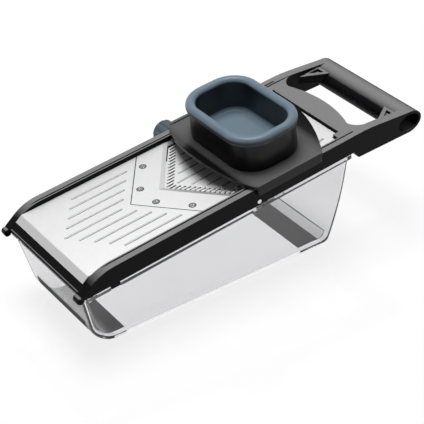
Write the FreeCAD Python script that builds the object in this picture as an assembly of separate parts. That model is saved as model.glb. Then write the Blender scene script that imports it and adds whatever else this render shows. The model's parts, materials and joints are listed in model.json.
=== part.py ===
"""Mandoline slicer on a clear catch container, built as separate named pieces.

Two frames of reference are used. The ground frame has the table at height zero. The deck
frame lies on the sloping rails: along runs to the handle, across runs to the knob side and
up is square to the deck, with zero at the rail tops. Lengths are millimetres, angles degrees.
"""
import os
from math import asin, cos, degrees, pi, radians, sin, sqrt, tan

import FreeCAD
import Part

# Driving sizes of the deck
deck_slope = 6.8
deck_height = 96.6
deck_shift = -16.0
frame_width = 120.0
rail_width = 8.0
rail_height = 17.0
deck_drop = 4.0
steel = 0.8

# Lengths along the deck
front_crease = -119.5
visor_slope = 36.0
visor_length = 14.6
nose_reach = 18.5
nose_radius = 3.2
panel_front = 141.0
handle_along = 208.1
handle_half_length = 14.3
handle_half_height = 10.6
handle_drop = 6.3
handle_wall = 2.6

# V blade, combs and ramp
v_rise = 0.79
insert_apex = -45.0
blade_depth = 33.0
blade_bevel = 3.6
blade_screw_head = 2.5
blade_screw_shank = 1.4
carrier_depth = 4.6
cheek_depth = 7.5
comb_depth = 9.7
comb_bar = 3.0
tooth_pitch = 3.4
tooth_length = 6.5
tooth_thickness = 0.6
tooth_sink = 0.4
rib_pitch = 10.0
rib_width = 2.2
rib_height = 0.5
slice_thinnest = 0.4
slice_thickest = 6.0
ramp_thickness = 1.8
hinge_setback = 5.0
hinge_up = -9.0
hinge_radius = 1.5

# Adjuster
shaft_setback = 6.692
shaft_radius = 2.0
cam_hub = 3.2
cam_width = 6.0
cam_inset = 22.0
knob_radius = 11.0
knob_hub_radius = 6.0
knob_standoff = 5.2
knob_width = 14.8
knob_half_turn = 90.0

# Holder and pusher
holder_along = 73.3
saddle_half_length = 53.5
saddle_side_half = 34.0
saddle_sheet = 2.6
saddle_flat_half = 28.0
saddle_curve = 40.0
flange_wall = 3.0
flange_depth = 5.0
cup_half_length = 30.6
cup_half_width = 46.0
cup_corner = 22.7
rim_overhang = 4.4
rim_height = 9.3
sleeve_outset = 1.2
sleeve_swell = 1.2
sleeve_wall = 2.2
sleeve_height = 26.6
cup_wall = 3.0
cup_floor = 4.0
pin_length = 3.4
pin_radius = 1.1

# Container
container_wall = 2.5
front_overhang = 7.5
rear_overhang = 3.2
container_tuck = 13.0
front_lean = 0.26
rear_curve = 306.0
rear_crest = 75.0
side_lean = 0.108
front_bottom_radius = 18.0
rear_bottom_radius = 6.0
side_bottom_radius = 3.5
corner_radius = 5.0
rim_band = 4.0
rim_lip = 2.9
container_top = 105.0
foot_depth = 1.2
foot_length = 30.0

# Clearances
slide_gap = 0.4
rest_gap = 0.3
running_gap = 0.05
seam_gap = 0.4
slot_gap = 0.5
blade_gap = 0.8

# Sizes that follow from the ones above
half_width = frame_width / 2
container_half_bottom = half_width - container_tuck
inner_half = half_width - rail_width
plate_half = inner_half - seam_gap
plate_bottom = -deck_drop - steel
rim_top = -rail_height - rest_gap
front_rim_height = (deck_height + front_crease * sin(radians(deck_slope))
                    + rim_top * cos(radians(deck_slope)))
container_front = front_crease - front_overhang + front_lean * front_rim_height
container_rear = panel_front + rear_overhang
floor_rear = container_rear - rear_crest * rear_crest / 2 / rear_curve
cutting_apex = insert_apex + blade_depth
plate_apex = cutting_apex + blade_gap
comb_apex = plate_apex + 2.4
tooth_top = -deck_drop - (slice_thickest + slice_thinnest) / 2 - tooth_sink
ramp_apex = comb_apex + tooth_length + 1.5
cheek_inner = plate_half - 5.8
tooth_count = int((cheek_inner - 1.2) / tooth_pitch)
ramp_waist = cheek_inner - 0.6
cheek_rear = ramp_apex + v_rise * ramp_waist
shaft_along = cheek_rear + shaft_setback
handle_up = -handle_half_height - handle_drop
arm_angle = degrees(asin(v_rise / sqrt(1 + v_rise * v_rise)))
hinge_along = panel_front - hinge_setback
knob_start = half_width + knob_standoff
knob_end = knob_start + knob_width
ramp_reach = hinge_along - cutting_apex
cam_across = half_width - cam_inset
ramp_half_range = degrees((slice_thickest - slice_thinnest) / 2 / ramp_reach)
ramp_rest = -degrees(asin((slice_thickest + slice_thinnest) / 2 / ramp_reach))
ramp_ratio = ramp_half_range / knob_half_turn
ramp_underside = plate_bottom - ramp_thickness
cam_reach = hinge_along - shaft_along
cam_half_lift = cam_reach * radians(ramp_half_range)
shaft_up = (ramp_underside + cam_reach * sin(radians(ramp_rest)) - cam_hub - cam_half_lift
            - running_gap)
saddle_base = rest_gap + 0.1
bore_offset = sleeve_outset - sleeve_wall
stem_offset = bore_offset - slide_gap
stem_bottom = 1.0
sleeve_top = saddle_base + sleeve_height
visor_step = FreeCAD.Vector(-cos(radians(visor_slope)), 0, -sin(radians(visor_slope)))
visor_out = FreeCAD.Vector(-sin(radians(visor_slope)), 0, cos(radians(visor_slope)))
visor_thickness = 2.6
bead_radius = 1.6


def at(along, across, up):
    """A point or a direction."""
    return FreeCAD.Vector(along, across, up)


def rounded_wire(corners):
    """Closed wire through corner points, each with its own rounding radius."""
    spans = []
    for index, (corner, radius) in enumerate(corners):
        before = (corners[index - 1][0] - corner).normalize()
        after = (corners[(index + 1) % len(corners)][0] - corner).normalize()
        half = before.getAngle(after) / 2
        first = corner + before * (radius / tan(half))
        last = corner + after * (radius / tan(half))
        middle = corner + (before + after).normalize() * (radius / sin(half) - radius)
        spans.append((first, middle, last, radius))
    edges = []
    for index, (first, middle, last, radius) in enumerate(spans):
        if radius > 0:
            edges.append(Part.Arc(first, middle, last).toShape())
        following = spans[(index + 1) % len(spans)][0]
        if (following - last).Length > 1e-6:
            edges.append(Part.makeLine(last, following))
    return Part.Wire(edges)


def side_prism(corners, across_from, across_to):
    """Outline given along and up, drawn out across the deck."""
    wire = rounded_wire([(at(along, across_from, up), radius) for along, up, radius in corners])
    return Part.Face(wire).extrude(at(0, across_to - across_from, 0))


def plan_prism(corners, up_from, up_to):
    """Outline given along and across, drawn up from the deck."""
    wire = rounded_wire([(at(along, across, up_from), radius) for along, across, radius in corners])
    return Part.Face(wire).extrude(at(0, 0, up_to - up_from))


def block(along, across, up):
    """Box between pairs of limits."""
    sizes = (along[1] - along[0], across[1] - across[0], up[1] - up[0])
    return Part.makeBox(*sizes, at(along[0], across[0], up[0]))


def rod(radius, along, up, across_from, across_to):
    """Round bar across the deck."""
    return Part.makeCylinder(radius, across_to - across_from, at(along, across_from, up), at(0, 1, 0))


def mirrored(shape):
    """The same shape on the other side of the middle line."""
    return shape.mirror(at(0, 0, 0), at(0, 1, 0))


def joined(shapes):
    """One clean solid from touching shapes."""
    return shapes[0].multiFuse(shapes[1:]).removeSplitter()


def both_sides(shapes):
    """Shapes together with their mirror images."""
    return shapes + [mirrored(shape) for shape in shapes]


def on_deck(shape):
    """Move a shape from the deck frame to the ground frame."""
    placed = shape.copy()
    placed.rotate(at(0, 0, 0), at(0, 1, 0), -deck_slope)
    placed.translate(at(0, 0, deck_height))
    return placed


def turned_ramp(shape):
    """Tilt a shape built level about the ramp hinge to its resting height."""
    tilted = shape.copy()
    tilted.rotate(at(hinge_along, 0, hinge_up), at(0, 1, 0), ramp_rest)
    return tilted


def v_edge(apex, across):
    """Position along the deck of a V line at a distance from the middle."""
    return apex + v_rise * abs(across)


def v_corners(apex, half):
    """Three corners of a V line, from the far end to the near end."""
    return [(v_edge(apex, half), half, 0), (apex, 0, 0), (v_edge(apex, half), -half, 0)]


def v_arms(profile, apex, half):
    """Both arms of a V, with a section given square to the arm and up."""
    reach = 2 * half
    direction = at(v_rise, 1, 0).normalize()
    square = at(direction.y, -direction.x, 0)
    start = at(apex, 0, 0) - direction * reach
    corners = [(start + square * offset + at(0, 0, up), 0) for offset, up in profile]
    arm = Part.Face(rounded_wire(corners)).extrude(direction * (3 * reach))
    arm = arm.common(block((apex - 4 * reach, apex + 4 * reach), (0, half), (-reach, reach)))
    return [arm, mirrored(arm)]


def handle_oval(inset, across_from, across_to):
    """Oval bar of the handle, or its bore when inset."""
    centre = at(handle_along, across_from, handle_up)
    longer = centre + at(handle_half_length - inset, 0, 0)
    shorter = centre + at(0, 0, handle_half_height - inset)
    edge = Part.Ellipse(longer, shorter, centre).toShape()
    return Part.Face(Part.Wire(edge)).extrude(at(0, across_to - across_from, 0))


def down_visor(distance):
    """Middle of the visor's wall at a distance down its slope."""
    return at(front_crease, 0, plate_bottom) + visor_step * distance - visor_out * (visor_thickness / 2)


def front_bead():
    """Soft bead along the lower edge of the visor."""
    centre = down_visor(visor_length)
    return rod(bead_radius, centre.x, centre.z, -inner_half, inner_half)


def rail_nose():
    """Rounded nose at the front end of the far rail."""
    centre = down_visor(nose_reach)
    limits = (inner_half + nose_radius / 2, half_width - nose_radius / 2)
    bar = rod(nose_radius, centre.x, centre.z, *limits)
    ends = [Part.makeSphere(nose_radius, at(centre.x, across, centre.z)) for across in limits]
    return joined([bar] + ends)


def frame_rail():
    """Far rail with its arm dipping into the handle."""
    nose = down_visor(nose_reach)
    top_front = front_crease + 7.0
    arm_bottom = handle_up - handle_half_height + 3.0
    corners = [
        (nose.x - 1.0, nose.z + 1.5, 0),
        (top_front, 0, 40.0),
        (panel_front + 21.0, 0, 150.0),
        (handle_along, handle_up + handle_half_height, 0),
        (handle_along, handle_up - handle_half_height, 0),
        (panel_front + 8.5, arm_bottom, 2.0),
        (panel_front + 4.0, -rail_height, 1.0),
        (nose.x + 4.0, -rail_height, 0),
    ]
    bar = side_prism(corners, inner_half, half_width)
    rail = bar.fuse(handle_oval(0, inner_half, half_width))
    groove = block((top_front + 4.0, panel_front + 8.0), (inner_half + 1.3, inner_half + 2.7), (-1.2, 1.0))
    cuts = [groove]
    channels = ((front_crease + 30.0, shaft_along - 7.0), (shaft_along + 7.0, hinge_along - 8.0))
    for limits in channels:
        cuts.append(block(limits, (inner_half + 2.2, half_width - 2.2), (-rail_height - 1.0, -4.5)))
    return rail.cut(Part.makeCompound(cuts))


def rear_panel():
    """Panel behind the ramp, with a bowed rear edge and rounded inner corners."""
    base = -1.0 - visor_thickness
    front = panel_front
    bow, side, root = front + 21.0, front + 13.5, front + 27.0
    turn = inner_half - 12.0
    points = [at(front, -inner_half, base), at(front, inner_half, base), at(root, inner_half, base),
              at(side, turn, base), at(side, -turn, base), at(root, -inner_half, base)]
    edges = [
        Part.makeLine(points[0], points[1]),
        Part.makeLine(points[1], points[2]),
        Part.Arc(points[2], at(side + 4.5, turn + 8.5, base), points[3]).toShape(),
        Part.Arc(points[3], at(bow, 0, base), points[4]).toShape(),
        Part.Arc(points[4], at(side + 4.5, -turn - 8.5, base), points[5]).toShape(),
        Part.makeLine(points[5], points[0]),
    ]
    return Part.Face(Part.Wire(edges)).extrude(at(0, 0, visor_thickness))


def visor():
    """Sloping front wall of the frame under the plate's folded lip."""
    crease = at(front_crease, -inner_half, plate_bottom)
    edge = crease + visor_step * visor_length
    inward = visor_out * -visor_thickness
    corners = [crease, edge, edge + inward, crease + inward,
               crease + at(4.0, 0, -visor_thickness), crease + at(4.0, 0, 0)]
    wire = rounded_wire([(corner, 0) for corner in corners])
    return Part.Face(wire).extrude(at(0, 2 * inner_half, 0))


def front_deck():
    """Plastic deck under the front plate, with stiffening ribs below it."""
    rear = insert_apex - seam_gap
    front_corners = [(front_crease, -inner_half, 0), (front_crease, inner_half, 0)]
    outline = v_corners(rear, inner_half) + front_corners
    pieces = [plan_prism(outline, plate_bottom - visor_thickness, plate_bottom)]
    for step in range(-2, 3):
        across = step * 17.0
        limits = (front_crease + 8.0, v_edge(rear, across) - 3.0)
        rib_limits = (plate_bottom - 6.5, plate_bottom - 2.0)
        pieces.append(block(limits, (across - 0.8, across + 0.8), rib_limits))
    return pieces


def handle_gusset():
    """Corner web between rail and handle, with a triangular pocket."""
    rear = handle_along - 8.0
    top = handle_up + handle_half_height - 0.8
    corners = [(rear - 24.0, inner_half, 0), (rear, inner_half, 0), (rear, inner_half - 15.0, 0)]
    web = plan_prism(corners, handle_up + 2.0, top)
    side, back = inner_half - 1.6, rear - 2.5
    pocket_corners = [(back - 11.5, side, 0), (back, side, 0), (back, side - 7.9, 0)]
    return web.cut(plan_prism(pocket_corners, top - 2.8, top + 1.0))


def rail_fittings():
    """Hinge boss, carrier ledge, locating skirts, front lug and gusset of the far rail."""
    boss_limits = (panel_front - 6.2, panel_front + 1.0)
    boss = block(boss_limits, (inner_half - 7.4, inner_half), (hinge_up - 5.0, -1.0))
    ledge_up = plate_bottom - cheek_depth
    ledge_limits = (insert_apex + 25.0, shaft_along - 7.6)
    ledge = block(ledge_limits, (inner_half - 3.4, inner_half), (ledge_up - 2.3, ledge_up))
    skirt_top = -rail_height + 1.6
    skirt_inner = inner_half - 3.1
    skirts = []
    for limits in ((front_crease + 28.0, shaft_along - 7.0), (shaft_along + 7.0, hinge_along - 16.0)):
        skirts.append(block(limits, (skirt_inner, inner_half + 0.5), (-rail_height, skirt_top)))
        skirts.append(block(limits, (skirt_inner, skirt_inner + 1.6), (-rail_height - 5.0, skirt_top)))
    lug_limits = (front_crease + 13.5, front_crease + 21.5)
    lug = block(lug_limits, (half_width - 2.4, half_width), (-rail_height - 3.6, skirt_top))
    return [boss, ledge, lug, handle_gusset()] + skirts


def frame():
    """Black slicer frame: rails, visor, front deck, rear panel and hollow handle."""
    handle = handle_oval(0, -inner_half, inner_half)
    bulkhead_limits = (panel_front, panel_front + 2.4)
    bulkhead = block(bulkhead_limits, (-inner_half, inner_half), (-rail_height + 0.6, -2.0))
    sides = both_sides([frame_rail(), rail_nose()] + rail_fittings())
    body = joined(sides + [visor(), handle, bulkhead, rear_panel()] + front_deck())
    reach = half_width + 5.0
    seam_along = 0.6 * handle_half_length
    seam_up = 0.8 * handle_half_height
    cuts = [
        handle_oval(handle_wall, -reach, reach),
        rod(0.6, handle_along + seam_along, handle_up + seam_up, -reach, reach),
        rod(shaft_radius + running_gap, shaft_along, shaft_up, -reach, reach),
        rod(hinge_radius, hinge_along, hinge_up, -half_width + 2.0, half_width - 2.0),
        front_bead(),
    ]
    return body.cut(Part.makeCompound(cuts)).removeSplitter()


def rib(along_from, along_to, across, base):
    """Embossed rib with round ends and a rounded back."""
    ridge = rib_width * rib_width / 8 / rib_height + rib_height / 2
    sunk = base + rib_height - ridge
    bar = Part.makeCylinder(ridge, along_to - along_from, at(along_from, across, sunk), at(1, 0, 0))
    ends = [Part.makeSphere(ridge, at(along, across, sunk)) for along in (along_from, along_to)]
    keep = block((along_from - 5.0, along_to + 5.0), (across - 3.0, across + 3.0), (base - 0.1, base + 2.0))
    return joined([bar] + ends).common(keep)


def outfeed_plate():
    """Ribbed steel plate with a folded front lip and a V-shaped rear edge."""
    top = -deck_drop
    rear = insert_apex - seam_gap
    outline = v_corners(rear, plate_half) + [(front_crease, -plate_half, 0), (front_crease, plate_half, 0)]
    sheet = plan_prism(outline, plate_bottom, top)
    crease = at(front_crease, -plate_half, plate_bottom)
    lip_length = 7.0
    lip_corners = [
        (crease + at(3.0, 0, 0), 0),
        (crease, 0.4),
        (crease + visor_step * lip_length, 0),
        (crease + visor_step * lip_length + visor_out * steel, 0),
        (crease + visor_out * steel + at(0.1, 0, 0), 1.4),
        (crease + at(3.0, 0, steel), 0),
    ]
    lip = Part.Face(rounded_wire(lip_corners)).extrude(at(0, 2 * plate_half, 0))
    ribs = []
    for step in range(-4, 5):
        across = step * rib_pitch
        ribs.append(rib(v_edge(front_crease + 11.0, across), v_edge(rear - 9.0, across), across, top))
    return joined([sheet, lip] + ribs)


def screw_places():
    """Middle points of the four blade screws."""
    offset = insert_apex + blade_depth / 4
    near, far = 0.225 * plate_half, 0.7 * plate_half
    return [(v_edge(offset, across), across) for across in (near, -near, far, -far)]


def screw_holes(radius, up_from, up_to):
    """Round cutters at the four screw places."""
    height = up_to - up_from
    return Part.makeCompound([Part.makeCylinder(radius, height, at(along, across, up_from))
                              for along, across in screw_places()])


def blade_screws():
    """Four flat cross-head screws through the blade into the carrier."""
    screws = []
    length = carrier_depth - 0.6
    head_top = plate_bottom + steel + 0.25
    recess, slot = 0.6 * blade_screw_head, 0.18 * blade_screw_head
    for along, across in screw_places():
        head = Part.makeCylinder(blade_screw_head, head_top - plate_bottom, at(along, across, plate_bottom))
        shank = Part.makeCylinder(blade_screw_shank, length, at(along, across, plate_bottom - length))
        cross = []
        for long, short in ((recess, slot), (slot, recess)):
            limits = (across - short, across + short)
            cross.append(block((along - long, along + long), limits, (head_top - 0.6, head_top + 1.0)))
        screws.append(joined([head, shank]).cut(joined(cross)))
    return Part.makeCompound(screws)


def v_blade():
    """Steel V plate, ground to a bevel along the cutting edge."""
    depth = blade_depth * cos(radians(arm_angle))
    section = [(0, plate_bottom), (depth, plate_bottom), (depth, plate_bottom + 0.12),
               (depth - blade_bevel, -deck_drop), (0, -deck_drop)]
    blade = joined(v_arms(section, insert_apex, plate_half))
    return blade.cut(screw_holes(blade_screw_head, plate_bottom - 1.0, plate_bottom + 2.0))


def blade_carrier():
    """Plastic V carrier with side cheeks and the bar under the combs."""
    square = cos(radians(arm_angle))
    seat_bottom = plate_bottom - carrier_depth
    seat_to = (blade_depth - 9.0) * square
    seat = [(0.5, plate_bottom), (0.5, seat_bottom), (seat_to - 1.0, seat_bottom), (seat_to, plate_bottom)]
    bar_from = (comb_apex - insert_apex - 0.5) * square
    bar_to = bar_from + tooth_length + 2.0
    bar_top = plate_bottom - comb_depth
    bar_bottom = bar_top - comb_bar
    bar = [(bar_from, bar_top), (bar_from, bar_bottom), (bar_to, bar_bottom), (bar_to, bar_top)]
    post_outer = plate_half - 3.2
    arms = v_arms(seat, insert_apex, plate_half) + v_arms(bar, insert_apex, post_outer)
    cheek_front = v_edge(insert_apex, plate_half) + 3.0
    cheek_bottom = plate_bottom - cheek_depth
    cheek = block((cheek_front, cheek_rear), (cheek_inner, plate_half), (cheek_bottom, plate_bottom))
    post = block((cheek_rear - 9.0, cheek_rear), (cheek_inner, post_outer), (bar_bottom, plate_bottom))
    tab = block((cheek_rear - 3.4, cheek_rear), (cheek_inner, plate_half), (plate_bottom, -deck_drop + 0.2))
    body = joined(arms + both_sides([cheek, post, tab]))
    return body.cut(screw_holes(blade_screw_shank, plate_bottom - carrier_depth + 0.6, plate_bottom + 2.0))


def tooth_places():
    """Distances of one comb's teeth from the middle line."""
    return [tooth_pitch * (index + 0.5) for index in range(tooth_count)]


def comb(side):
    """Julienne comb of one arm: a strip with upright pointed teeth."""
    square = cos(radians(arm_angle))
    strip_bottom = plate_bottom - comb_depth
    strip_from = (comb_apex - insert_apex) * square
    strip_to = strip_from + tooth_length
    strip_section = [(strip_from, strip_bottom), (strip_to, strip_bottom),
                     (strip_to, strip_bottom + steel), (strip_from, strip_bottom + steel)]
    reach = tooth_pitch * (tooth_count - 0.5) + 1.2
    strip = v_arms(strip_section, insert_apex, reach)[0]
    strip = strip.cut(block((insert_apex, comb_apex + reach), (-1.0, 0.3), (-reach, 0)))
    teeth = []
    for across in tooth_places():
        front = v_edge(comb_apex, across)
        root = strip_bottom + 0.4
        corners = [
            (front + 0.6, root, 0),
            (front, tooth_top - 0.6, 0),
            (front + 1.6, tooth_top, 0),
            (front + tooth_length, tooth_top - 2.6, 0),
            (front + tooth_length, root, 0),
        ]
        teeth.append(side_prism(corners, across - tooth_thickness / 2, across + tooth_thickness / 2))
    shape = joined([strip] + teeth)
    return shape if side > 0 else mirrored(shape)


def hinge_rod():
    """Rod through both rail bosses and the ramp ears."""
    return rod(hinge_radius, hinge_along, hinge_up, -half_width + 2.0, half_width - 2.0)


def ramp_outline(apex, margin):
    """Plan of the ramp: V front, waisted past the carrier cheeks, notched rear corners."""
    waist = ramp_waist - margin
    shoulder = cheek_rear + 1.2 + margin
    rear = panel_front - 0.8 - margin
    notch = inner_half - 8.0 - margin
    wide = plate_half - margin
    notch_front = panel_front - 6.8 - margin
    far_half = [
        (v_edge(apex + margin, waist), waist, 0),
        (shoulder, waist, 0),
        (shoulder, wide, 1.5),
        (notch_front, wide, 1.5),
        (notch_front, notch, 0),
        (rear, notch, 0),
    ]
    near_half = [(along, -across, radius) for along, across, radius in reversed(far_half)]
    return [(apex + margin, 0, 0)] + far_half + near_half


def infeed_plate():
    """Ribbed steel plate of the ramp, with slots for the comb teeth along its V edge."""
    sheet = plan_prism(ramp_outline(plate_apex, 0), plate_bottom, -deck_drop)
    ribs = []
    for step in range(-4, 5):
        across = step * rib_pitch
        ribs.append(rib(v_edge(ramp_apex + 3.5, across), panel_front - 14.0, across, -deck_drop))
    slots = []
    half_slot = tooth_thickness / 2 + slot_gap
    for across in tooth_places():
        front = v_edge(comb_apex, across)
        limits = (front - slot_gap, front + tooth_length + slot_gap)
        slots.append(block(limits, (across - half_slot, across + half_slot), (plate_bottom - 1.0, 0)))
    return turned_ramp(joined([sheet] + ribs).cut(Part.makeCompound(both_sides(slots))))


def ramp_carrier():
    """Plastic carrier under the steel, with hinge ears and stiffening ribs."""
    sheet = plan_prism(ramp_outline(ramp_apex, 0.6), ramp_underside, plate_bottom)
    pieces = [sheet]
    for across in (-40.0, 0.0, 40.0):
        limits = (across - 3.5, across + 3.5)
        pieces.append(rod(4.0, hinge_along, hinge_up, *limits))
        web_limits = (hinge_up, ramp_underside + 0.5)
        pieces.append(block((hinge_along - 4.0, hinge_along + 4.0), limits, web_limits))
    for across in (-24.0, -12.0, 12.0, 24.0):
        limits = (across - 0.8, across + 0.8)
        rib_limits = (ramp_underside - 2.5, ramp_underside + 0.5)
        pieces.append(block((shaft_along + 12.0, hinge_along - 6.0), limits, rib_limits))
    body = joined(pieces)
    bore = rod(hinge_radius + running_gap, hinge_along, hinge_up, -half_width, half_width)
    return turned_ramp(body.cut(bore))


def cam_outline():
    """Outline points of the lifting cam, so that the ramp tilts evenly with the knob."""
    points = []
    drop = shaft_up - hinge_up
    for turn in range(-98, 99, 14):
        tilt = radians(ramp_rest + ramp_ratio * turn)
        height = ramp_underside - hinge_up + cam_reach * sin(tilt) - drop * cos(tilt) - running_gap
        slope_rate = cam_reach * cos(tilt) + drop * sin(tilt)
        facing = tilt - radians(turn)
        lean = slope_rate * ramp_ratio / (ramp_ratio - 1)
        points.append(at(shaft_along + height * sin(facing) + lean * cos(facing), 0,
                         shaft_up + height * cos(facing) - lean * sin(facing)))
    return points


def cam(across):
    """Spiral lifting cam fixed on the shaft."""
    points = cam_outline()
    curve = Part.BSplineCurve()
    curve.interpolate(points)
    lifting = curve.toShape()
    below = at(shaft_along, 0, shaft_up - cam_hub)
    closing = Part.Arc(points[-1], below, points[0]).toShape()
    face = Part.Face(Part.Wire([lifting, closing]))
    hub = rod(cam_hub, shaft_along, shaft_up, 0, cam_width)
    body = joined([face.extrude(at(0, cam_width, 0)), hub])
    body = body.cut(rod(shaft_radius, shaft_along, shaft_up, -1.0, cam_width + 1.0))
    body.translate(at(0, across - cam_width / 2, 0))
    return body


def adjuster_shaft():
    """Steel shaft across the frame, with a rounded near end."""
    near_end = -half_width - 0.6
    bar = rod(shaft_radius, shaft_along, shaft_up, near_end, knob_end - 4.0)
    tip = min(bar.Edges, key=lambda edge: edge.CenterOfMass.y)
    return bar.makeFillet(0.5, [tip])


def adjuster_knob():
    """Soft-touch knob with a hub, finger flutes and a rounded outer edge."""
    grip = rod(knob_radius, shaft_along, shaft_up, knob_start, knob_end)
    outer = [edge for edge in grip.Edges if edge.CenterOfMass.y > knob_end - 0.01]
    grip = grip.makeFillet(2.0, outer)
    flutes = []
    for index in range(10):
        angle = 2 * pi * index / 10
        along = shaft_along + (knob_radius + 1.6) * cos(angle)
        up = shaft_up + (knob_radius + 1.6) * sin(angle)
        flutes.append(rod(2.6, along, up, knob_start - 1.0, knob_end + 1.0))
    grip = grip.cut(Part.makeCompound(flutes))
    hub = rod(knob_hub_radius, shaft_along, shaft_up, half_width + 1.8, knob_start + 1.0)
    bore = rod(shaft_radius, shaft_along, shaft_up, half_width, knob_end - 4.0)
    return joined([grip, hub]).cut(bore)


def ring(outer, across_from, across_to):
    """Ring on the adjuster shaft."""
    body = rod(outer, shaft_along, shaft_up, across_from, across_to)
    return body.cut(rod(shaft_radius, shaft_along, shaft_up, across_from - 1.0, across_to + 1.0))


def saddle_outline(margin, up_from, up_to):
    """Barrel-shaped plan of the saddle."""
    outer = half_width + slide_gap + flange_wall - margin
    long_half = saddle_half_length - margin
    side_half = saddle_side_half - margin
    corners = [at(holder_along - side_half, outer, up_from), at(holder_along + side_half, outer, up_from),
               at(holder_along + side_half, -outer, up_from), at(holder_along - side_half, -outer, up_from)]
    edges = [
        Part.makeLine(corners[0], corners[1]),
        Part.Arc(corners[1], at(holder_along + long_half, 0, up_from), corners[2]).toShape(),
        Part.makeLine(corners[2], corners[3]),
        Part.Arc(corners[3], at(holder_along - long_half, 0, up_from), corners[0]).toShape(),
    ]
    return Part.Face(Part.Wire(edges)).extrude(at(0, 0, up_to - up_from))


def saddle_sheet_solid():
    """Sheet flat over the rails and curling up to its front and rear edges."""
    base = saddle_base
    reach = saddle_half_length + 2.0 - saddle_flat_half
    width = half_width + slide_gap + flange_wall
    edges = []
    lines = []
    for radius, level in ((saddle_curve, base), (saddle_curve - saddle_sheet, base + saddle_sheet)):
        angle = asin(reach / saddle_curve)
        centre_up = base + saddle_curve
        tips = []
        for side in (-1, 1):
            root = at(holder_along + side * saddle_flat_half, -width, level)
            bend = at(holder_along + side * (saddle_flat_half + radius * sin(angle / 2)), -width,
                      centre_up - radius * cos(angle / 2))
            tip = at(holder_along + side * (saddle_flat_half + radius * sin(angle)), -width,
                     centre_up - radius * cos(angle))
            edges.append(Part.Arc(root, bend, tip).toShape())
            tips.append((root, tip))
        lines.append(tips)
        edges.append(Part.makeLine(tips[0][0], tips[1][0]))
    for side in (0, 1):
        edges.append(Part.makeLine(lines[0][side][1], lines[1][side][1]))
    wire = Part.Wire(Part.__sortEdges__(edges))
    sheet = Part.Face(wire).extrude(at(0, 2 * width, 0))
    return sheet.common(saddle_outline(0, -20.0, 40.0))


def cup_outline(offset, up):
    """Rounded rectangle of the cup in plan, grown by an offset."""
    length = cup_half_length + offset
    width = cup_half_width + offset
    radius = cup_corner + offset
    corners = [(length, width), (-length, width), (-length, -width), (length, -width)]
    return rounded_wire([(at(holder_along + along, across, up), radius) for along, across in corners])


def cup_prism(offset, up_from, up_to):
    """Upright block with the plan of the cup."""
    return Part.Face(cup_outline(offset, up_from)).extrude(at(0, 0, up_to - up_from))


def loop_edges(shape, offset, up):
    """Edges of a cup-shaped block that lie on one outline at one height."""
    outline = cup_outline(offset, up)
    found = []
    for edge in shape.Edges:
        middle = edge.valueAt((edge.FirstParameter + edge.LastParameter) / 2)
        if outline.distToShape(Part.Vertex(middle))[0] < 0.01:
            found.append(edge)
    return found


def sleeve():
    """Solid of the sleeve's outside, swelling gently above a narrow foot."""
    sections = []
    for share in (0.0, 0.1, 0.3, 0.6, 0.85, 1.0):
        swell = sleeve_swell * sin(pi * sqrt(share))
        sections.append(cup_outline(sleeve_outset + swell, saddle_base + share * sleeve_height))
    return Part.makeLoft(sections, True, False, False, 3)


def holder_base():
    """Food holder: dished saddle with side flanges, runners and a sleeve for the pusher."""
    side_limits = (holder_along - saddle_side_half, holder_along + saddle_side_half)
    runner_limits = (side_limits[0] + 4.0, side_limits[1] - 4.0)
    top = saddle_base + saddle_sheet
    runner = block(runner_limits, (inner_half + 3.4, half_width - 1.0), (rest_gap, top))
    flange_inner = half_width + slide_gap
    flange = block(side_limits, (flange_inner, flange_inner + flange_wall), (-flange_depth, top + 1.0))
    upright = [edge for edge in flange.Edges
               if edge.BoundBox.ZLength > flange_depth and edge.CenterOfMass.y > flange_inner + 1.0]
    flange = flange.makeFillet(2.0, upright)
    body = joined([saddle_sheet_solid(), sleeve()] + both_sides([flange, runner]))
    return body.cut(cup_prism(bore_offset, saddle_base - 5.0, sleeve_top + 5.0))


def pusher_cup():
    """Cup with a thick rolled soft rim that hangs over the sleeve."""
    rim_base = sleeve_top + 0.5
    rim_up = rim_base + rim_height
    cavity_offset = stem_offset - cup_wall
    floor = stem_bottom + cup_floor
    roll = (rim_overhang - cavity_offset) / 2 - 0.1
    stem = cup_prism(stem_offset, stem_bottom, rim_base + 1.0)
    rim = cup_prism(rim_overhang, rim_base, rim_up)
    cup = joined([stem, rim]).cut(cup_prism(cavity_offset, floor, rim_up + 1.0))
    for offset, up, radius in ((rim_overhang, rim_up, roll), (cavity_offset, rim_up, roll),
                               (rim_overhang, rim_base, roll), (cavity_offset, floor, 4.0),
                               (stem_offset, stem_bottom, 0.6)):
        cup = cup.makeFillet(radius, loop_edges(cup, offset, up))
    return cup


def pin_plate():
    """Thin plate that carries the food pins under the pusher."""
    return cup_prism(stem_offset - 6.0, stem_bottom - steel, stem_bottom)


def food_pins():
    """Pointed pins in three rows."""
    pins = []
    for row in (-1, 0, 1):
        for column in range(-3, 4):
            place = at(holder_along + row * cup_half_length / 2, column * cup_half_width / 4.2,
                       stem_bottom - steel - pin_length)
            pins.append(Part.makeCone(0.15, pin_radius, pin_length, place))
    return Part.makeCompound(pins)


def fillet_inset(height, radius):
    """How far a wall is drawn in at a height by a rounded bottom edge."""
    if height >= radius:
        return 0.0
    return radius - sqrt(radius * radius - (radius - height) ** 2)


def container_section(height, inset):
    """Rounded rectangle round the container at a height above its floor."""
    front = container_front - front_lean * height + fillet_inset(height, front_bottom_radius) + inset
    below_crest = max(rear_crest - height, 0.0)
    rear = container_rear - below_crest * below_crest / 2 / rear_curve - inset
    rear -= fillet_inset(height, rear_bottom_radius)
    half = container_half_bottom + side_lean * height - fillet_inset(height, side_bottom_radius) - inset
    radius = corner_radius - inset
    corners = [(front, half), (rear, half), (rear, -half), (front, -half)]
    return rounded_wire([(at(along, across, height + inset), radius) for along, across in corners])


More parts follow.
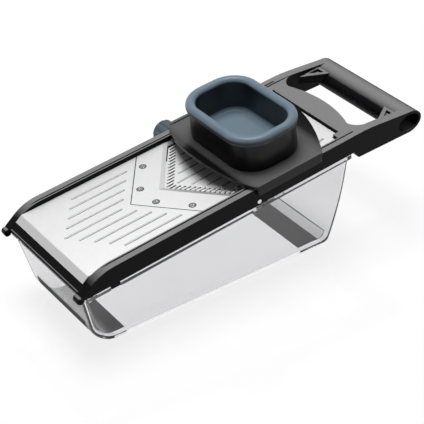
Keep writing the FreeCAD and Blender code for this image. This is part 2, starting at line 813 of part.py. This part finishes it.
def container_block(inset):
    """Solid of the container outside, or of its inside when inset by the wall."""
    shoulder = front_bottom_radius
    heights = [shoulder * (1 - cos(radians(angle))) for angle in range(0, 91, 10)]
    rounded = [container_section(height, inset) for height in heights]
    rises = [shoulder + (rear_crest - shoulder) * share / 4 for share in range(5)]
    bowed = [container_section(height, inset) for height in rises]
    straight = [container_section(height, inset) for height in (rear_crest, container_top)]
    lower = Part.makeLoft(rounded, True, False, False, 3)
    middle = Part.makeLoft(bowed, True, False, False, 3)
    return lower.multiFuse([middle, Part.makeLoft(straight, True, True)])


def foot_patch(along_limits, height):
    """Thin patch of the container's outer skin, for a soft inlay."""
    half = 0.8 * container_half_bottom
    region = block(along_limits, (-half, half), (-1.0, height))
    return container_block(0).common(region).cut(container_block(foot_depth))


def front_foot():
    """Soft strip round the front bottom corner."""
    return foot_patch((container_front - foot_length, container_front + foot_length), 0.8 * foot_length)


def rear_foot():
    """Soft strip round the rear bottom corner."""
    return foot_patch((floor_rear - foot_length, floor_rear + foot_length), 0.25 * foot_length)


def container():
    """Clear wedge-shaped container with a rim parallel to the deck."""
    length = container_rear - container_front
    above_limits = (rim_top, rim_top + container_top)
    above = on_deck(block((-length, length), (-frame_width, frame_width), above_limits))
    outer = container_block(0).cut(above)
    front = front_crease - front_overhang - rim_lip
    rear = panel_front + rear_overhang - 0.2
    rim_half = half_width + 0.3
    rim_corners = [(front, rim_half, corner_radius), (rear, rim_half, corner_radius),
                   (rear, -rim_half, corner_radius), (front, -rim_half, corner_radius)]
    rim = plan_prism(rim_corners, rim_top - rim_band, rim_top)
    notch = block((front_crease + 12.9, front_crease + 22.1), (half_width - 2.9, half_width + 4.0),
                  (rim_top - rim_band - 1.0, rim_top + 1.0))
    rim = rim.cut(Part.makeCompound(both_sides([notch])))
    shell = outer.fuse(on_deck(rim)).cut(container_block(container_wall))
    return shell.cut(Part.makeCompound([front_foot(), rear_foot()]))


ground_pieces = {
    "container": container(),
    "front_foot": front_foot(),
    "rear_foot": rear_foot(),
}
deck_pieces = {
    "frame": frame(),
    "front_bead": front_bead(),
    "outfeed_plate": outfeed_plate(),
    "hinge_rod": hinge_rod(),
    "blade_carrier": blade_carrier(),
    "v_blade": v_blade(),
    "blade_screws": blade_screws(),
    "comb_far": comb(1),
    "comb_near": comb(-1),
    "ramp_carrier": ramp_carrier(),
    "infeed_plate": infeed_plate(),
    "adjuster_shaft": adjuster_shaft(),
    "cam_far": cam(cam_across),
    "cam_near": cam(-cam_across),
    "adjuster_knob": adjuster_knob(),
    "knob_washer": ring(knob_hub_radius - 0.5, half_width + 0.4, half_width + 1.8),
    "shaft_clip": ring(shaft_radius + 0.8, -inner_half + 0.5, -inner_half + 1.5),
    "holder_base": holder_base(),
    "pusher_cup": pusher_cup(),
    "pin_plate": pin_plate(),
    "food_pins": food_pins(),
}

os.makedirs("parts", exist_ok=True)
pieces = dict(ground_pieces)
for name, shape in deck_pieces.items():
    pieces[name] = on_deck(shape)
for name, shape in pieces.items():
    shape.translate(at(deck_shift, 0, 0))
    shape.exportStep(os.path.join("parts", name + ".step"))
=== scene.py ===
"""Looks of the mandoline slicer: finishes, small trim, studio and camera."""
import json
from math import cos, pi, radians, sin

import bmesh
import bpy
from bpy.props import FloatProperty, FloatVectorProperty, PointerProperty
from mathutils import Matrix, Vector


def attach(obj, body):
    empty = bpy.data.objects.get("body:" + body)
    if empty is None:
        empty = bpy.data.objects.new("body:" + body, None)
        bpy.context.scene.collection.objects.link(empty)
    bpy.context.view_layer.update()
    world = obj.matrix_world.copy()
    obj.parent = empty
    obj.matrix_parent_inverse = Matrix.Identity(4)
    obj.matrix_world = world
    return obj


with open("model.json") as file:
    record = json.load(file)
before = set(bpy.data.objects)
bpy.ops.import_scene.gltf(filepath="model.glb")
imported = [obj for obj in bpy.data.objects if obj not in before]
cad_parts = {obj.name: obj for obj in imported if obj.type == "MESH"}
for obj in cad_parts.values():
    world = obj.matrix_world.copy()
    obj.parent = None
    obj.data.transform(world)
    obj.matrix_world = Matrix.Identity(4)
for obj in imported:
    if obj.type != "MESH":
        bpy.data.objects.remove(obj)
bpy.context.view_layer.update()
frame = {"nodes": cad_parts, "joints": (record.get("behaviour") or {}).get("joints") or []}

bl_info = {
    "name": "Mandoline slicer looks",
    "version": (1, 1, 0),
    "blender": (4, 5, 0),
    "location": "View3D > Sidebar > Slicer",
    "description": "Finishes, small trim and studio for the mandoline slicer",
    "category": "Object",
}

joint_axes = {joint["name"]: Vector(joint["axis"]).normalized() for joint in frame["joints"]}
deck_along = joint_axes["holder_slide"]
deck_up = joint_axes["pusher_slide"]
deck_across = deck_up.cross(deck_along)

# Spacing of soft, cloudy variation in plastic and in rubber, in metres
plastic_clouds = 0.02
rubber_clouds = 0.01

# Range that most of a noise texture's values lie in
noise_low = 0.3
noise_high = 0.7

# Places of the Mix node's sockets, for colours and for numbers
colour_first, colour_second, colour_result = 6, 7, 2
number_first, number_second, number_result = 2, 3, 0

# Steel is cut sharper than plastic is moulded: its share of the plastic's edge rounding
steel_edge_share = 0.4

# Trim of painted shade: corners of a ring round a screw head, and the strip that counts as the blade's
# outer edge, in metres
ring_steps = 32
rim_tolerance = 0.0001

# Room: heights of a view direction between which the backdrop fades into the ceiling
backdrop_top = 0.10
ceiling_start = 0.45

# Floor: half its width, and where it turns to plain white, in metres, with its two colours
floor_reach = 6.0
floor_white_from = 0.45
floor_white_to = 0.90
floor_near = (0.22, 0.22, 0.22)
floor_far = (0.02, 0.02, 0.02)

# Key light: place, aim and size, in metres
key_place = (-0.04, 0.35, 2.60)
key_aim = (0.0, 0.0, 0.08)
key_size = 1.3

# Camera: width of the sensor in millimetres, and the nearest distance in metres
sensor_width = 36.0
nearest = 0.05


def colour_setting(name, description, default):
    """Colour that a user can change."""
    return FloatVectorProperty(name=name, description=description, subtype="COLOR", size=3,
                               default=default, min=0, max=1)


def length_setting(name, description, default):
    """Small length that a user can change, in metres."""
    return FloatProperty(name=name, description=description, default=default, min=0.00001, max=0.05,
                         subtype="DISTANCE", unit="LENGTH")


class FinishSettings(bpy.types.PropertyGroup):
    """Surface finish of the slicer's materials."""

    black: colour_setting("Black plastic", "Colour of the smooth black sides", (0.004, 0.004, 0.005))
    # Painted light: the frame's upper faces get this pale grey, far paler than the black sides, to stand
    # for light falling on them
    grained_painted_light: colour_setting("Grained black", "Colour of the frame's upper faces", (0.290, 0.286, 0.290))
    # Painted light: the food holder's upper faces get this grey, paler than the black sides, to stand for
    # light falling on them
    satin_painted_light: colour_setting("Satin black", "Colour of the food holder's upper faces", (0.150, 0.147, 0.149))
    soft_blue: colour_setting("Soft touch", "Colour of the pusher", (0.186, 0.258, 0.323))
    knob_blue: colour_setting("Knob", "Colour of the adjuster knob", (0.090, 0.124, 0.156))
    # Painted shade: a near-black blue for the pusher's steep walls, standing for the shade inside the cup
    painted_shade_blue: colour_setting("Soft walls", "Colour of the pusher's steep walls", (0.010, 0.015, 0.020))
    steel: colour_setting("Steel", "Colour of the steel plates", (0.81, 0.81, 0.815))
    # Painted shade: cut edges and rib sides are coloured darker than the plates
    steel_painted_shade: colour_setting("Steel sides", "Colour of cut edges and rib sides", (0.20, 0.20, 0.205))
    clear: colour_setting("Clear plastic", "Tint of the container", (0.930, 0.930, 0.942))
    rubber: colour_setting("Rubber", "Colour of the front foot and the washer", (0.010, 0.012, 0.016))
    grain: length_setting("Grain", "Spacing of the plastic's fine grain", 0.0006)
    brush: length_setting("Brushing", "Spacing of the brushed lines on the steel", 0.0004)
    edge: length_setting("Edge", "Rounding of moulded edges as they catch the light", 0.0006)


class TrimSettings(bpy.types.PropertyGroup):
    """Small trim of painted shade that is drawn on the built pieces."""

    # Painted shade: a dark ring lies round each screw head, standing for the shadow in the gap round it
    ring_radius: length_setting("Screw seat", "Inner radius of the dark seat round a screw head", 0.0025)
    ring_width: length_setting("Seat width", "Width of the dark seat round a screw head", 0.0008)
    # Painted shade: a dark strip lies over the seam before the blade, standing for the shadow in it
    seam_width: length_setting("Seam width", "Width of the dark seam before the blade", 0.0008)
    lift: length_setting("Lift", "Height of the trim above the sheet", 0.00003)


class StageSettings(bpy.types.PropertyGroup):
    """Studio light, floor and camera."""

    azimuth: FloatProperty(name="Azimuth", description="Camera direction round the object",
                           default=radians(-36.44), subtype="ANGLE", unit="ROTATION")
    elevation: FloatProperty(name="Elevation", description="Camera height above the horizon",
                             default=radians(34.72), subtype="ANGLE", unit="ROTATION")
    place: FloatVectorProperty(name="Camera place", description="Where the camera stands", size=3,
                               default=(-0.5554, -0.7830, 0.7201), subtype="TRANSLATION", unit="LENGTH")
    lens: FloatProperty(name="Lens", description="Focal length for a 36 mm wide picture, in millimetres",
                        default=115.9, min=20, max=400)
    key: FloatProperty(name="Key", description="Power of the softbox above the object, in watts",
                       default=52.0, min=0, max=500)
    ambient: FloatProperty(name="Ambient", description="Brightness of the room as it lights matt surfaces",
                           default=0.10, min=0, max=5)
    dim: FloatProperty(name="Ceiling", description="Brightness of the ceiling above the backdrop, in gloss",
                       default=0.34, min=0, max=1)
    glow: FloatProperty(name="Floor glow", description="Share of the floor's white that holds no shadow",
                        default=0.82, min=0, max=1)
    mirror: FloatProperty(name="Floor in gloss", description="The floor's white in gloss and clear parts",
                          default=0.64, min=0, max=1)


def settings():
    """The scene's three groups of settings."""
    scene = bpy.context.scene
    return scene.slicer_finish, scene.slicer_trim, scene.slicer_stage


class Finish:
    """A material under construction, with one principled surface."""

    def __init__(self, name, **values):
        self.material = bpy.data.materials.new(name)
        self.material.use_nodes = True
        self.tree = self.material.node_tree
        self.tree.nodes.clear()
        output = self.tree.nodes.new("ShaderNodeOutputMaterial")
        self.surface = self.node("BsdfPrincipled", **values)
        self.link(self.surface.outputs["BSDF"], output.inputs["Surface"])
        self.place = self.node("TexCoord")

    def node(self, kind, **values):
        """Add a shader node and set its inputs; underscores stand for blanks."""
        added = self.tree.nodes.new("ShaderNode" + kind)
        for name, value in values.items():
            added.inputs[name.replace("_", " ")].default_value = value
        return added

    def link(self, start, end):
        """Join an output to an input."""
        self.tree.links.new(start, end)

    def noise(self, spacing, stretch=(1, 1, 1), detail=2.0):
        """Noise whose grain has the given spacing in metres."""
        mapping = self.node("Mapping", Scale=stretch)
        texture = self.node("TexNoise", Scale=1.0 / spacing, Detail=detail)
        self.link(self.place.outputs["Object"], mapping.inputs["Vector"])
        self.link(mapping.outputs["Vector"], texture.inputs["Vector"])
        return texture.outputs["Fac"]

    def facing(self, direction, low, high):
        """Mask of the faces that look along a direction of the object, or against it."""
        dot = self.node("VectorMath")
        dot.operation = "DOT_PRODUCT"
        dot.inputs[1].default_value = direction
        self.link(self.place.outputs["Normal"], dot.inputs[0])
        size = self.node("Math")
        size.operation = "ABSOLUTE"
        self.link(dot.outputs["Value"], size.inputs[0])
        return self.spread(size.outputs["Value"], 0.0, 1.0, low, high)

    def spread(self, value, low, high, start=noise_low, end=noise_high):
        """Map a value onto a range."""
        ranged = self.node("MapRange", From_Min=start, From_Max=end, To_Min=low, To_Max=high)
        self.link(value, ranged.inputs["Value"])
        return ranged.outputs["Result"]

    def blend(self, mask, first, second):
        """Mix of two colours or colour outputs by a mask."""
        mix = self.node("Mix")
        mix.data_type = "RGBA"
        self.link(mask, mix.inputs["Factor"])
        for place, colour in ((colour_first, first), (colour_second, second)):
            socket = mix.inputs[place]
            if isinstance(colour, bpy.types.NodeSocket):
                self.link(colour, socket)
            else:
                socket.default_value = (*colour, 1)
        return mix.outputs[colour_result]

    def tint(self, value, colour, change):
        """Colour that varies by a share of itself with a noise."""
        dark = [part * (1 - change) for part in colour]
        light = [min(1.0, part * (1 + change)) for part in colour]
        return self.blend(self.spread(value, 0.0, 1.0), dark, light)

    def colour(self, socket):
        """Use a colour output as the surface's colour."""
        self.link(socket, self.surface.inputs["Base Color"])

    def rough(self, socket):
        """Use an output as the surface's roughness."""
        self.link(socket, self.surface.inputs["Roughness"])

    def relief(self, value, height, edge=0.0):
        """Small relief with its height in metres, over softly rounded edges."""
        bump = self.node("Bump", Distance=height)
        self.link(value, bump.inputs["Height"])
        if edge > 0:
            rounding = self.node("Bevel", Radius=edge)
            rounding.samples = 6
            self.link(rounding.outputs["Normal"], bump.inputs["Normal"])
        self.link(bump.outputs["Normal"], self.surface.inputs["Normal"])


def black_plastic(name, painted_light_top, steep, gloss, roughness, height):
    """Black plastic with smooth sides and upper faces with a fine grain; the upper faces are painted paler,
    as painted light from above.
    """
    finish, _, _ = settings()
    made = Finish(name, Specular_IOR_Level=gloss)
    grain = made.noise(finish.grain)
    change = 0.15
    spread = 0.05
    level = 0.998
    sides = made.tint(made.noise(plastic_clouds), finish.black, change=change)
    painted_light_tops = made.tint(grain, painted_light_top, change=change)
    # Painted light: faces that look along deck_up, up or down, blend from the black sides into the paler
    # top colour
    made.colour(made.blend(made.facing(deck_up, low=steep, high=level), sides, painted_light_tops))
    made.rough(made.spread(grain, low=roughness - spread, high=roughness + spread))
    made.relief(grain, height=height, edge=finish.edge)
    return made.material


def moulded_black():
    """Black plastic of the frame with a fine grain, and painted light on its upper faces."""
    finish, _, _ = settings()
    return black_plastic("moulded_black", finish.grained_painted_light, steep=0.83, gloss=0.09, roughness=0.40,
                         height=0.000025)


def plain_black():
    """Plain plastic of the cams, black on every side."""
    finish, _, _ = settings()
    return black_plastic("plain_black", finish.black, steep=0.83, gloss=0.09, roughness=0.40,
                         height=0.000012)


def satin_black():
    """Smooth black plastic of the food holder, with painted light on its paler upper faces."""
    finish, _, _ = settings()
    return black_plastic("satin_black", finish.satin_painted_light, steep=0.92, gloss=0.28, roughness=0.32,
                         height=0.000008)


def soft_touch(name, colour, walls):
    """Blue-grey soft-touch plastic; steep walls take a second colour, which for the cup is painted shade.
    """
    finish, _, _ = settings()
    made = Finish(name, Specular_IOR_Level=0.5)
    clouds = made.noise(plastic_clouds)
    grain = made.noise(finish.grain)
    level = made.tint(clouds, colour, change=0.06)
    # Painted shade: steep faces blend into the walls colour, upward faces keep the level colour
    made.colour(made.blend(made.facing(deck_up, low=0.05, high=0.50), walls, level))
    made.rough(made.spread(grain, low=0.38, high=0.46))
    made.relief(grain, height=0.000012, edge=finish.edge)
    return made.material


def soft_rubber():
    """Dark matt rubber of the front foot and the washer."""
    finish, _, _ = settings()
    made = Finish("soft_rubber", Specular_IOR_Level=0.2)
    grain = made.noise(finish.grain)
    made.colour(made.tint(made.noise(rubber_clouds), finish.rubber, change=0.15))
    made.rough(made.spread(grain, low=0.45, high=0.60))
    made.relief(grain, height=0.00002, edge=finish.edge)
    return made.material


def brushed_steel():
    """Sheet steel with fine lines along the slicer, and painted shade on faces that look across it."""
    finish, _, _ = settings()
    made = Finish("brushed_steel", Metallic=1.0)
    lines = made.noise(finish.brush, stretch=(0.02, 1.0, 1.0), detail=4.0)
    flat = made.tint(lines, finish.steel, change=0.03)
    # Painted shade: faces that look across the slicer, the rib sides and cut edges, take the darker side
    # colour
    made.colour(made.blend(made.facing(deck_across, low=0.08, high=0.30), flat, finish.steel_painted_shade))
    made.rough(made.spread(lines, low=0.48, high=0.54))
    made.relief(lines, height=0.000003, edge=finish.edge * steel_edge_share)
    return made.material


def turned_steel():
    """Bright turned steel of rods, screws and pins."""
    finish, _, _ = settings()
    made = Finish("turned_steel", Metallic=1.0)
    lines = made.noise(finish.brush, detail=3.0)
    made.colour(made.tint(lines, finish.steel, change=0.05))
    made.rough(made.spread(lines, low=0.16, high=0.26))
    made.relief(lines, height=0.000004, edge=finish.edge * steel_edge_share)
    return made.material


def clear_plastic():
    """Clear moulded plastic with faint flow marks."""
    finish, _, _ = settings()
    made = Finish("clear_plastic", Transmission_Weight=1.0, IOR=1.49)
    flow = made.noise(spacing=0.05, stretch=(0.4, 1.0, 1.0))
    made.colour(made.tint(flow, finish.clear, change=0.008))
    made.rough(made.spread(flow, low=0.01, high=0.03))
    made.relief(flow, height=0.00004)
    return made.material


def smoked_rubber():
    """Smoked, nearly clear rubber of the rear foot."""
    finish, _, _ = settings()
    made = Finish("smoked_rubber", Transmission_Weight=1.0, IOR=1.43)
    grain = made.noise(finish.grain)
    smoke = 0.85
    smoked = [part * smoke for part in finish.clear]
    made.colour(made.tint(made.noise(rubber_clouds), smoked, change=0.01))
    made.rough(made.spread(grain, low=0.22, high=0.30))
    made.relief(grain, height=0.000008)
    return made.material


def painted_gap_shade():
    """Dark steel colour that stands for painted shade: the rings round the screw heads and the strip over
    the blade's seam.
    """
    finish, _, _ = settings()
    made = Finish("painted_gap_shade", Metallic=0.5)
    marks = made.noise(finish.brush)
    shade = (0.03, 0.03, 0.032)
    made.colour(made.tint(marks, shade, change=0.25))
    made.rough(made.spread(marks, low=0.40, high=0.55))
    made.relief(marks, height=0.000003)
    return made.material


def dress(names, material):
    """Give CAD nodes a material."""
    for name in names:
        mesh = frame["nodes"][name].data
        mesh.materials.clear()
        mesh.materials.append(material)


def loose_parts(name):
    """Points of a node's separate solids, as one list for each solid."""
    build = bmesh.new()
    build.from_mesh(frame["nodes"][name].data)
    bmesh.ops.remove_doubles(build, verts=build.verts, dist=1e-6)
    parts = []
    seen = set()
    for first in build.verts:
        waiting = [first]
        part = []
        while waiting:
            vert = waiting.pop()
            if vert not in seen:
                seen.add(vert)
                part.append(vert.co.copy())
                waiting.extend(edge.other_vert(vert) for edge in vert.link_edges)
        if part:
            parts.append(part)
    build.free()
    return parts


def keep_trim(name, build, material):
    """Turn a mesh under construction into a trim piece of the slicer."""
    bmesh.ops.recalc_face_normals(build, faces=build.faces)
    for face in build.faces:
        if face.normal.dot(deck_up) < 0:
            face.normal_flip()
    mesh = bpy.data.meshes.new(name)
    build.to_mesh(mesh)
    build.free()
    mesh.materials.append(material)
    piece = bpy.data.objects.new(name, mesh)
    bpy.context.scene.collection.objects.link(piece)
    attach(piece, "slicer")


def screw_shade_rings(material):
    """Painted shade: dark rings on the blade round the screw heads, standing for the shadow in the gap
    round each head.
    """
    _, trim, _ = settings()
    blade_top = max(vert.co.dot(deck_up) for vert in frame["nodes"]["v_blade"].data.vertices)
    build = bmesh.new()
    for part in loose_parts("blade_screws"):
        middle = sum(part, Vector()) / len(part)
        centre = middle + deck_up * (blade_top + trim.lift - middle.dot(deck_up))
        rings = []
        for radius in (trim.ring_radius, trim.ring_radius + trim.ring_width):
            ring = []
            for step in range(ring_steps):
                turn = 2 * pi * step / ring_steps
                outward = deck_along * cos(turn) + deck_across * sin(turn)
                ring.append(build.verts.new(centre + outward * radius))
            rings.append(ring)
        for step in range(ring_steps):
            following = (step + 1) % ring_steps
            build.faces.new((rings[0][step], rings[1][step], rings[1][following], rings[0][following]))
    keep_trim("screw_shade_rings", build, material)


def blade_seam_shade(material):
    """Painted shade: a dark strip over the seam along the blade's front edges, from its point to its outer
    corners.
    """
    _, trim, _ = settings()
    points = [vert.co for vert in frame["nodes"]["v_blade"].data.vertices]
    level = max(point.dot(deck_up) for point in points) + trim.lift
    apex = min(points, key=lambda point: point.dot(deck_along))
    outer = max(abs(point.dot(deck_across)) for point in points)
    build = bmesh.new()
    for side in (-1, 1):
        rim = [point for point in points if side * point.dot(deck_across) > outer - rim_tolerance]
        corner = min(rim, key=lambda point: point.dot(deck_along))
        run = (corner - apex).normalized()
        aside = deck_up.cross(run).normalized() * trim.seam_width / 2
        start, end = [point + deck_up * (level - point.dot(deck_up)) for point in (apex, corner)]
        shape = (start - aside, end - aside, end + aside, start + aside)
        build.faces.new([build.verts.new(point) for point in shape])
    keep_trim("blade_seam_shade", build, material)


class SLICER_OT_container(bpy.types.Operator):
    """Finish the clear container and its soft feet"""

    bl_idname = "slicer.container"
    bl_label = "Container"

    def execute(self, context):
        dress(["container"], clear_plastic())
        dress(["front_foot"], soft_rubber())
        dress(["rear_foot"], smoked_rubber())
        return {"FINISHED"}


class SLICER_OT_frame(bpy.types.Operator):
    """Finish the black frame, its bead and the plastic carriers"""

    bl_idname = "slicer.frame"
    bl_label = "Frame"

    def execute(self, context):
        dress(["frame", "front_bead", "blade_carrier", "ramp_carrier"], moulded_black())
        return {"FINISHED"}


class SLICER_OT_steelwork(bpy.types.Operator):
    """Finish the steel plates, the blade, the combs and the screws, and draw painted shade round the screws
    and along the blade's seam
    """

    bl_idname = "slicer.steelwork"
    bl_label = "Steelwork"

    def execute(self, context):
        dress(["outfeed_plate", "infeed_plate", "v_blade", "comb_far", "comb_near"], brushed_steel())
        dress(["blade_screws", "hinge_rod"], turned_steel())
        # Painted shade: dark rings round the screw heads and a dark strip over the blade's seam
        shade_trim = painted_gap_shade()
        screw_shade_rings(shade_trim)
        blade_seam_shade(shade_trim)
        return {"FINISHED"}


class SLICER_OT_adjuster(bpy.types.Operator):
    """Finish the adjuster shaft, its cams and the knob"""

    bl_idname = "slicer.adjuster"
    bl_label = "Adjuster"

    def execute(self, context):
        dress(["adjuster_shaft", "shaft_clip"], turned_steel())
        dress(["cam_far", "cam_near"], plain_black())
        dress(["knob_washer"], soft_rubber())
        finish, _, _ = settings()
        dress(["adjuster_knob"], soft_touch("soft_knob", finish.knob_blue, finish.knob_blue))
        return {"FINISHED"}


class SLICER_OT_holder(bpy.types.Operator):
    """Finish the food holder"""

    bl_idname = "slicer.holder"
    bl_label = "Food holder"

    def execute(self, context):
        dress(["holder_base"], satin_black())
        return {"FINISHED"}


class SLICER_OT_pusher(bpy.types.Operator):
    """Finish the pusher cup with its pin plate and pins"""

    bl_idname = "slicer.pusher"
    bl_label = "Pusher"

    def execute(self, context):
        finish, _, _ = settings()
        # The cup's steep walls get the painted shade colour
        dress(["pusher_cup"], soft_touch("soft_cup", finish.soft_blue, finish.painted_shade_blue))
        dress(["pin_plate", "food_pins"], turned_steel())
        return {"FINISHED"}


class Paths:
    """Light path switches in a node tree: what the eye sees directly, in gloss or through glass."""

    def __init__(self, tree):
        self.tree = tree
        path = tree.nodes.new("ShaderNodeLightPath")
        self.camera = path.outputs["Is Camera Ray"]
        self.mirrored = self.maximum(path.outputs["Is Glossy Ray"], path.outputs["Is Transmission Ray"])
        self.seen = self.maximum(self.camera, self.mirrored)

    def maximum(self, first, second):
        """Larger of two outputs."""
        node = self.tree.nodes.new("ShaderNodeMath")
        node.operation = "MAXIMUM"
        self.tree.links.new(first, node.inputs[0])
        self.tree.links.new(second, node.inputs[1])
        return node.outputs["Value"]

    def choose(self, switch, otherwise, chosen):
        """One of two numbers or outputs by a switch."""
        node = self.tree.nodes.new("ShaderNodeMix")
        self.tree.links.new(switch, node.inputs["Factor"])
        for place, value in ((number_first, otherwise), (number_second, chosen)):
            socket = node.inputs[place]
            if isinstance(value, bpy.types.NodeSocket):
                self.tree.links.new(value, socket)
            else:
                socket.default_value = value
        return node.outputs[number_result]


def white_room():
    """World with a white backdrop all round and a dimmer ceiling."""
    _, _, stage = settings()
    world = bpy.data.worlds.new("room")
    bpy.context.scene.world = world
    world.use_nodes = True
    tree = world.node_tree
    tree.nodes.clear()
    output = tree.nodes.new("ShaderNodeOutputWorld")
    shade = tree.nodes.new("ShaderNodeBackground")
    shade.inputs["Color"].default_value = (1, 1, 1, 1)
    place = tree.nodes.new("ShaderNodeTexCoord")
    split = tree.nodes.new("ShaderNodeSeparateXYZ")
    fade = tree.nodes.new("ShaderNodeMapRange")
    fade.interpolation_type = "SMOOTHSTEP"
    fade.inputs["From Min"].default_value = backdrop_top
    fade.inputs["From Max"].default_value = ceiling_start
    fade.inputs["To Min"].default_value = 1.0
    fade.inputs["To Max"].default_value = stage.dim
    tree.links.new(place.outputs["Generated"], split.inputs["Vector"])
    tree.links.new(split.outputs["Z"], fade.inputs["Value"])
    paths = Paths(tree)
    lit = paths.choose(paths.mirrored, stage.ambient, fade.outputs["Result"])
    strength = paths.choose(paths.camera, lit, 1.0)
    tree.links.new(strength, shade.inputs["Strength"])
    tree.links.new(shade.outputs["Background"], output.inputs["Surface"])


def pale_floor():
    """Large white floor that keeps a soft shadow and a faint reflection near the slicer."""
    _, _, stage = settings()
    made = Finish("floor", Specular_IOR_Level=0.5, Emission_Color=(1, 1, 1, 1))
    clouds = made.noise(spacing=0.4, detail=1.0)
    distance = made.node("VectorMath")
    distance.operation = "LENGTH"
    made.link(made.place.outputs["Object"], distance.inputs[0])
    far = made.spread(distance.outputs["Value"], 0.0, 1.0, floor_white_from, floor_white_to)
    paths = Paths(made.tree)
    near = paths.choose(paths.mirrored, stage.glow, stage.mirror)
    glow = paths.choose(far, near, 1.0)
    made.link(paths.choose(paths.seen, 0.0, glow), made.surface.inputs["Emission Strength"])
    white = made.tint(clouds, floor_near, change=0.004)
    made.colour(made.blend(far, white, floor_far))
    made.rough(made.spread(clouds, low=0.07, high=0.09))
    build = bmesh.new()
    bmesh.ops.create_grid(build, x_segments=1, y_segments=1, size=floor_reach)
    mesh = bpy.data.meshes.new("floor")
    build.to_mesh(mesh)
    build.free()
    mesh.materials.append(made.material)
    floor = bpy.data.objects.new("floor", mesh)
    bpy.context.scene.collection.objects.link(floor)


def softbox(name, place, aim, size, power):
    """Square area light that faces a point."""
    data = bpy.data.lights.new(name, "AREA")
    data.shape = "SQUARE"
    data.size = size
    data.energy = power
    light = bpy.data.objects.new(name, data)
    light.location = place
    light.rotation_euler = (Vector(aim) - Vector(place)).to_track_quat("-Z", "Y").to_euler()
    bpy.context.scene.collection.objects.link(light)


class SLICER_OT_stage(bpy.types.Operator):
    """Set the floor, the studio light and the camera"""

    bl_idname = "slicer.stage"
    bl_label = "Stage"

    def execute(self, context):
        _, _, stage = settings()
        white_room()
        pale_floor()
        softbox("key", key_place, key_aim, key_size, stage.key)
        data = bpy.data.cameras.new("camera")
        data.sensor_width = sensor_width
        data.lens = stage.lens
        data.clip_start = nearest
        camera = bpy.data.objects.new("camera", data)
        flat = cos(stage.elevation)
        back = Vector((sin(stage.azimuth) * flat, -cos(stage.azimuth) * flat, sin(stage.elevation)))
        camera.location = stage.place
        camera.rotation_euler = back.to_track_quat("Z", "Y").to_euler()
        context.scene.collection.objects.link(camera)
        context.scene.camera = camera
        context.scene.view_settings.view_transform = "Standard"
        return {"FINISHED"}


operators = (
    SLICER_OT_container,
    SLICER_OT_frame,
    SLICER_OT_steelwork,
    SLICER_OT_adjuster,
    SLICER_OT_holder,
    SLICER_OT_pusher,
    SLICER_OT_stage,
)


class SLICER_PT_panel(bpy.types.Panel):
    """Sidebar panel with the slicer's settings and steps"""

    bl_idname = "SLICER_PT_panel"
    bl_label = "Mandoline slicer"
    bl_space_type = "VIEW_3D"
    bl_region_type = "UI"
    bl_category = "Slicer"

    def draw(self, context):
        layout = self.layout
        for group in settings():
            box = layout.box()
            for name in group.bl_rna.properties.keys():
                if name not in ("rna_type", "name"):
                    box.prop(group, name)
        for operator in operators:
            layout.operator(operator.bl_idname)


groups = (FinishSettings, TrimSettings, StageSettings)


def register():
    """Add the settings, the steps and the panel."""
    for item in (*groups, *operators, SLICER_PT_panel):
        bpy.utils.register_class(item)
    bpy.types.Scene.slicer_finish = PointerProperty(type=FinishSettings)
    bpy.types.Scene.slicer_trim = PointerProperty(type=TrimSettings)
    bpy.types.Scene.slicer_stage = PointerProperty(type=StageSettings)


def unregister():
    """Take everything away again."""
    del bpy.types.Scene.slicer_stage
    del bpy.types.Scene.slicer_trim
    del bpy.types.Scene.slicer_finish
    for item in (SLICER_PT_panel, *reversed(operators), *reversed(groups)):
        bpy.utils.unregister_class(item)


def main():
    """Run every step in order."""
    register()
    bpy.ops.slicer.container()
    bpy.ops.slicer.frame()
    bpy.ops.slicer.steelwork()
    bpy.ops.slicer.adjuster()
    bpy.ops.slicer.holder()
    bpy.ops.slicer.pusher()
    bpy.ops.slicer.stage()


if __name__ == "__main__":
    main()
